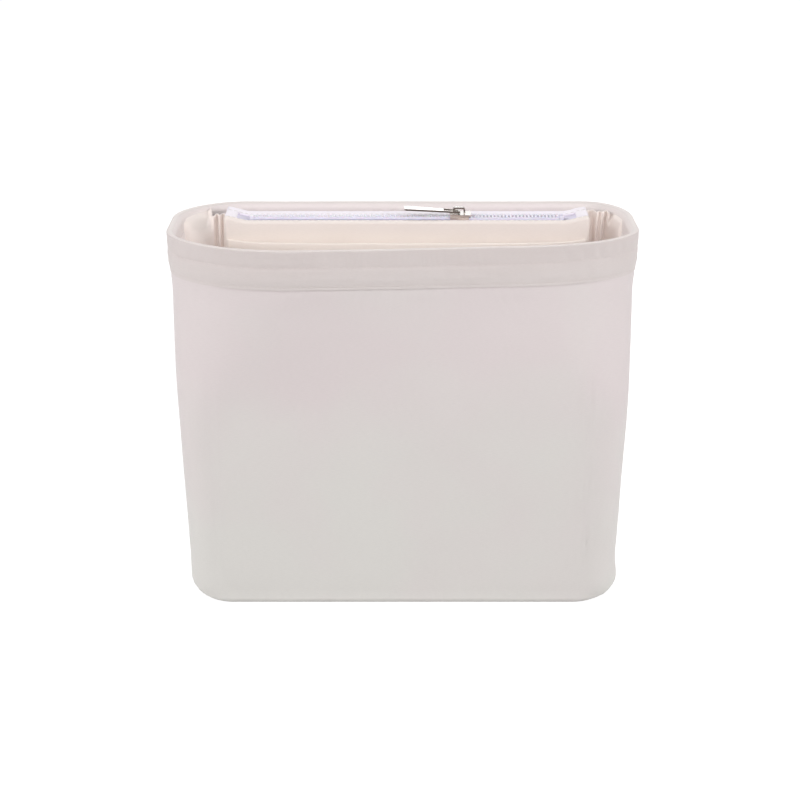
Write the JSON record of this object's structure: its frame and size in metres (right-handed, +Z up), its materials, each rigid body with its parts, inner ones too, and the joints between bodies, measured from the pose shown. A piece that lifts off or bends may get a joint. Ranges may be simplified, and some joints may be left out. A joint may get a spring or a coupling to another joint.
{
  "type": "bag organiser insert",
  "caption": "Open-topped satin bag organiser with board walls, a deep turned hem and a zipped divider pouch with a slip pocket, hung between pleated wings.",
  "frame": {"origin": "middle of the base's underside, which the insert stands on", "axes": "+X along the length towards the zip's open end, +Y from the front wall to the back wall beside the pouch, +Z up"},
  "size_m": [0.2542, 0.1093, 0.2072],
  "materials": {
    "satin": "satin weave, soft sheen",
    "hem": "satin weave, soft sheen, turned over the rim",
    "lining": "satin lining",
    "pouch": "satin, slightly warmer",
    "board": "bag-base board, inside the walls",
    "foam": "thin foam wadding, inside the walls",
    "tape": "woven zip tape",
    "nylon": "nylon teeth",
    "nickel": "nickel plate"
  },
  "bodies": {
    "insert": {"outer_wall": "satin", "outer_base": "satin", "rim_hem": "hem", "lining_wall": "lining", "lining_base": "lining", "base_board": "board", "rim_stay": "board", "front_board": "board", "back_board": "board", "left_side_foam": "foam", "right_side_foam": "foam", "pouch_front_panel": "pouch", "pouch_back_panel": "pouch", "pouch_gusset": "pouch", "slip_pocket": "pouch", "left_wing": "lining", "right_wing": "lining", "zip_tape_front": "tape", "zip_tape_back": "tape", "zip_coil_front": "nylon", "zip_coil_back": "nylon", "zip_bottom_stop": "nylon", "zip_top_stop_front": "nylon", "zip_top_stop_back": "nylon", "zip_tab_left": "pouch", "zip_tab_right": "pouch"},
    "slider": {"zip_slider": "nickel"},
    "puller": {"zip_puller": "nickel"}
  },
  "joints": [
    {"name": "zip_slide", "type": "slide", "parent": "insert", "child": "slider", "axis": [1, 0, 0], "range_m": [-0.10855, 0.0488], "deforming": ["zip_coil_front", "zip_coil_back"]},
    {"name": "puller_flip", "type": "hinge", "parent": "slider", "child": "puller", "pos_m": [0.0312, 0.0253, 0.2046], "axis": [0, 1, 0], "range_deg": [-4, 176]}
  ]
}
